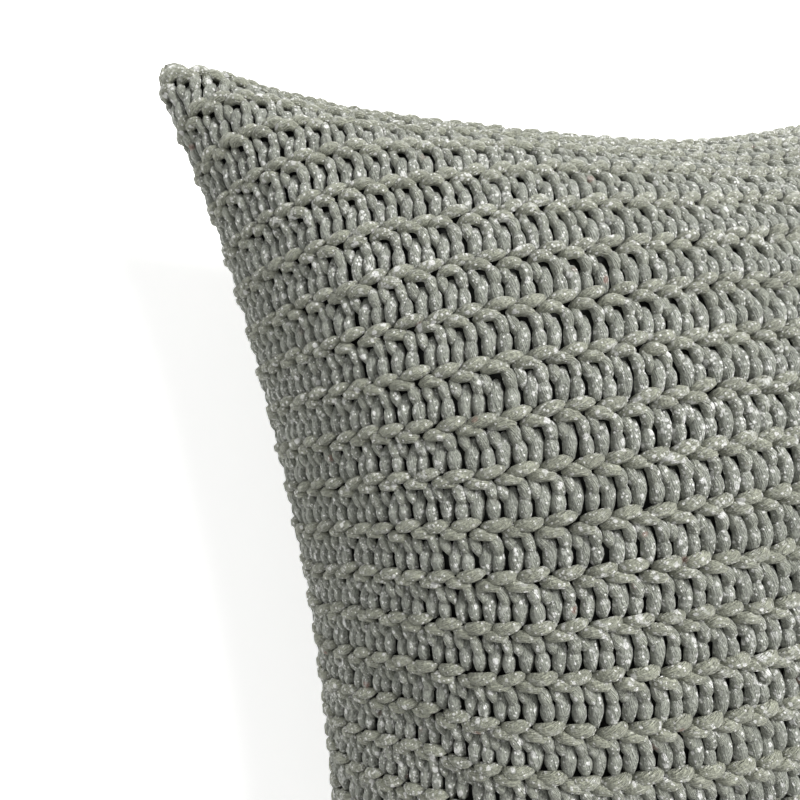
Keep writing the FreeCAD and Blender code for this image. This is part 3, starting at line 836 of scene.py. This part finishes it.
def outline_ring(name, inner, outer, thick):
    """The flat sewn edge all round the insert, a little wavy as a pressed seam is."""
    inside = form(ACROSS, UP, inner, CASE_CROWN, True)
    outside = form(ACROSS, UP, outer, CASE_CROWN, True)
    loop = ([(k, 0) for k in range(STEPS)] + [(STEPS, k) for k in range(STEPS)]
            + [(STEPS - k, STEPS) for k in range(STEPS)] + [(0, STEPS - k) for k in range(STEPS)])
    verts = []
    for n, (i, j) in enumerate(loop):
        sway = 0.25 * MM * math.sin(n * 0.9)
        for source, lift in ((inside, 0.0), (outside, sway)):
            for side in (-0.5, 0.5):
                verts.append(source[i, j] + np.array([0, 0, lift + side * thick]))
    faces = []
    count = len(loop)
    for n in range(count):
        a, b = 4 * n, 4 * ((n + 1) % count)
        for p, q in ((0, 2), (2, 3), (3, 1), (1, 0)):
            faces.append((a + p, b + p, b + q, a + q))
    return new_object(name, verts, faces)


insert_seam = outline_ring("insert_seam_edge", CASE_HALF + 0.3 * MM, CASE_HALF + 3 * MM, 0.8 * MM)
bpy.context.view_layer.update()
dress(insert_seam, "insert_fabric")
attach(insert_seam, "pillow")
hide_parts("insert_seam")


def care_label():
    """A blank satin label, folded once at its free edge."""
    low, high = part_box("care_label")
    leaf = (high.y - low.y) / 2
    middle = (high.y + low.y) / 2
    line = []
    for k in range(9):
        line.append((middle - leaf / 2, low.z + (high.z - low.z - leaf) * k / 8))
    for k in range(1, 6):
        angle = math.pi - math.pi * k / 6
        line.append((middle + leaf / 2 * math.cos(angle), high.z - leaf + leaf / 2 * math.sin(angle)))
    for k in range(9):
        line.append((middle + leaf / 2, high.z - leaf - (high.z - low.z - leaf) * k / 8))
    count = 20
    verts = []
    for i in range(count + 1):
        x = low.x + (high.x - low.x) * i / count
        for y, z in line:
            verts.append((x, y, z))
    faces = []
    for i in range(count):
        for k in range(len(line) - 1):
            a = i * len(line) + k
            b = a + len(line)
            faces.append((a, a + 1, b + 1, b))
    made = new_object("care_label_blank", verts, faces)
    wall = made.modifiers.new("cloth", "SOLIDIFY")
    wall.thickness = 0.15 * MM
    wall.offset = 0
    apply_modifiers(made)
    return made, high.x - low.x, 2 * (high.z - low.z)


label, label_wide, label_long = care_label()
dress(label, "label_satin")
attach(label, "pillow")
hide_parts("care_label")

# ---------------------------------------------------------------- the zip

for node, slot in (("zip_tape_front", "zip_tape"), ("zip_tape_back", "zip_tape"),
                   ("zip_teeth_front", "zip_plastic"), ("zip_teeth_back", "zip_plastic"),
                   ("zip_stitching", "thread"), ("zip_slider", "zip_metal"),
                   ("slider_bridge", "zip_metal"), ("pull_tab", "zip_metal"),
                   ("zip_top_stops", "zip_metal"), ("zip_bottom_stop", "zip_metal")):
    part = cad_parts[node]
    part.data.materials.clear()
    part.data.materials.append(FINISHES[slot])

for helper in (PATH, STITCH, CHAIN, RIM_CHAIN, SIDE_CHAIN):
    bpy.data.objects.remove(helper)

# ---------------------------------------------------------------- floor, light and camera

FLOOR = 3.0
floor = new_object("floor", [(-FLOOR, -FLOOR, 0), (FLOOR, -FLOOR, 0), (FLOOR, FLOOR, 0),
                             (-FLOOR, FLOOR, 0)], [(0, 1, 2, 3)])
floor_graph = blank("floor_pale")
floor_tone = floor_graph.mix(noise(floor_graph, place(floor_graph, (1, 1, 1)), 3.0),
                             colour(244, 244, 243), colour(250, 250, 249))
floor.data.materials.append(finish(floor_graph, floor_tone, 0.9, None,
                                   Emission_Color=(1, 1, 1, 1), Emission_Strength=0.55))


def lamp(name, place_at, aim, size, power):
    light = bpy.data.lights.new(name, "AREA")
    light.shape = "SQUARE"
    light.size = size
    light.energy = power
    made = bpy.data.objects.new(name, light)
    bpy.context.scene.collection.objects.link(made)
    heading = (Vector(aim) - Vector(place_at)).to_track_quat("-Z", "Y")
    made.matrix_world = Matrix.Translation(place_at) @ heading.to_matrix().to_4x4()


lamp("key_light", (0.58, 0.66, 1.2), (-0.05, 0.0, 0.1), 0.42, 28.5)
lamp("fill_light", (-0.9, 0.1, 1.1), (0, 0, 0.1), 1.0, 2.8)
world = bpy.data.worlds.new("studio")
world.use_nodes = True
sky = world.node_tree.nodes["Background"]
sky.inputs["Color"].default_value = (1, 1, 1, 1)
sky.inputs["Strength"].default_value = 0.36
bpy.context.scene.world = world
bpy.context.scene.view_settings.view_transform = "Standard"

SENSOR = 36.0
LENS = 23.085
CAMERA_PLACE = (-0.1989, 0.0938, SEAM + 0.2044)
CAMERA_TURNS = (-1.376, -16.684, -8.747)  # degrees about X, Y and Z
camera_data = bpy.data.cameras.new("camera")
camera_data.sensor_width = SENSOR
camera_data.lens = LENS
camera_data.clip_start = 0.005
camera = bpy.data.objects.new("camera", camera_data)
bpy.context.scene.collection.objects.link(camera)
camera_turn = Euler([math.radians(angle) for angle in CAMERA_TURNS])
camera.matrix_world = Matrix.Translation(CAMERA_PLACE) @ camera_turn.to_matrix().to_4x4()
bpy.context.scene.camera = camera
